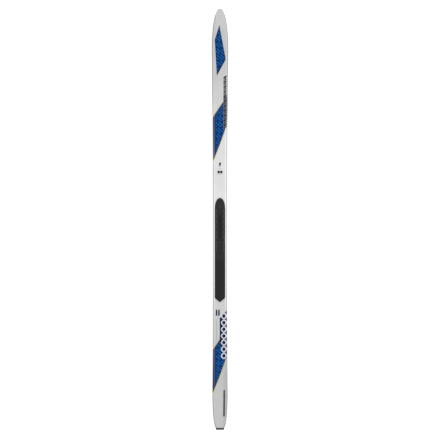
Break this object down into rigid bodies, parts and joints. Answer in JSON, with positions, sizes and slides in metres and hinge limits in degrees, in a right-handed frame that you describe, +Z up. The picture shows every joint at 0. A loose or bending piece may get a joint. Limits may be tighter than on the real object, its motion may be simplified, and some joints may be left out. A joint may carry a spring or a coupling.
{
  "type": "cross country ski",
  "caption": "Bare cross country touring ski with a cap body, turned-up tip, camber arch, grooved waxless base and a bonded plate with rails for a slide-on binding.",
  "frame": {"origin": "on the floor under the middle of the ski's length and width, with the ski lying on its base", "axes": "+Y along the length towards the turned-up tip, +X across the width to the right when seen from above, +Z up out of the top face"},
  "size_m": [0.0698, 1.79, 0.064],
  "materials": {
    "topsheet_film": "gloss",
    "guard_grey": "satin",
    "guard_dark": "satin",
    "plate_black": "matte",
    "rack_black": "satin",
    "base_plastic": "satin",
    "glass_laminate": "satin",
    "dense_sheet": "satin",
    "filler_foam": "matte",
    "core_wood": "matte",
    "bond_pad": "matte"
  },
  "bodies": {
    "root": {"adjustment_rack": "rack_black", "binding_plate_front": "plate_black", "binding_plate_rear": "plate_black", "binding_reinforcement": "dense_sheet", "bottom_laminate": "glass_laminate", "core_strip_left_inner": "core_wood", "core_strip_left_middle": "core_wood", "core_strip_left_outer": "core_wood", "core_strip_right_inner": "core_wood", "core_strip_right_middle": "core_wood", "core_strip_right_outer": "core_wood", "plate_pad_front": "bond_pad", "plate_pad_rear": "bond_pad", "running_base": "base_plastic", "tail_filler": "filler_foam", "tail_guard": "guard_dark", "tip_filler": "filler_foam", "tip_guard": "guard_grey", "topsheet": "topsheet_film", "torsion_cap": "glass_laminate"}
  },
  "joints": []
}
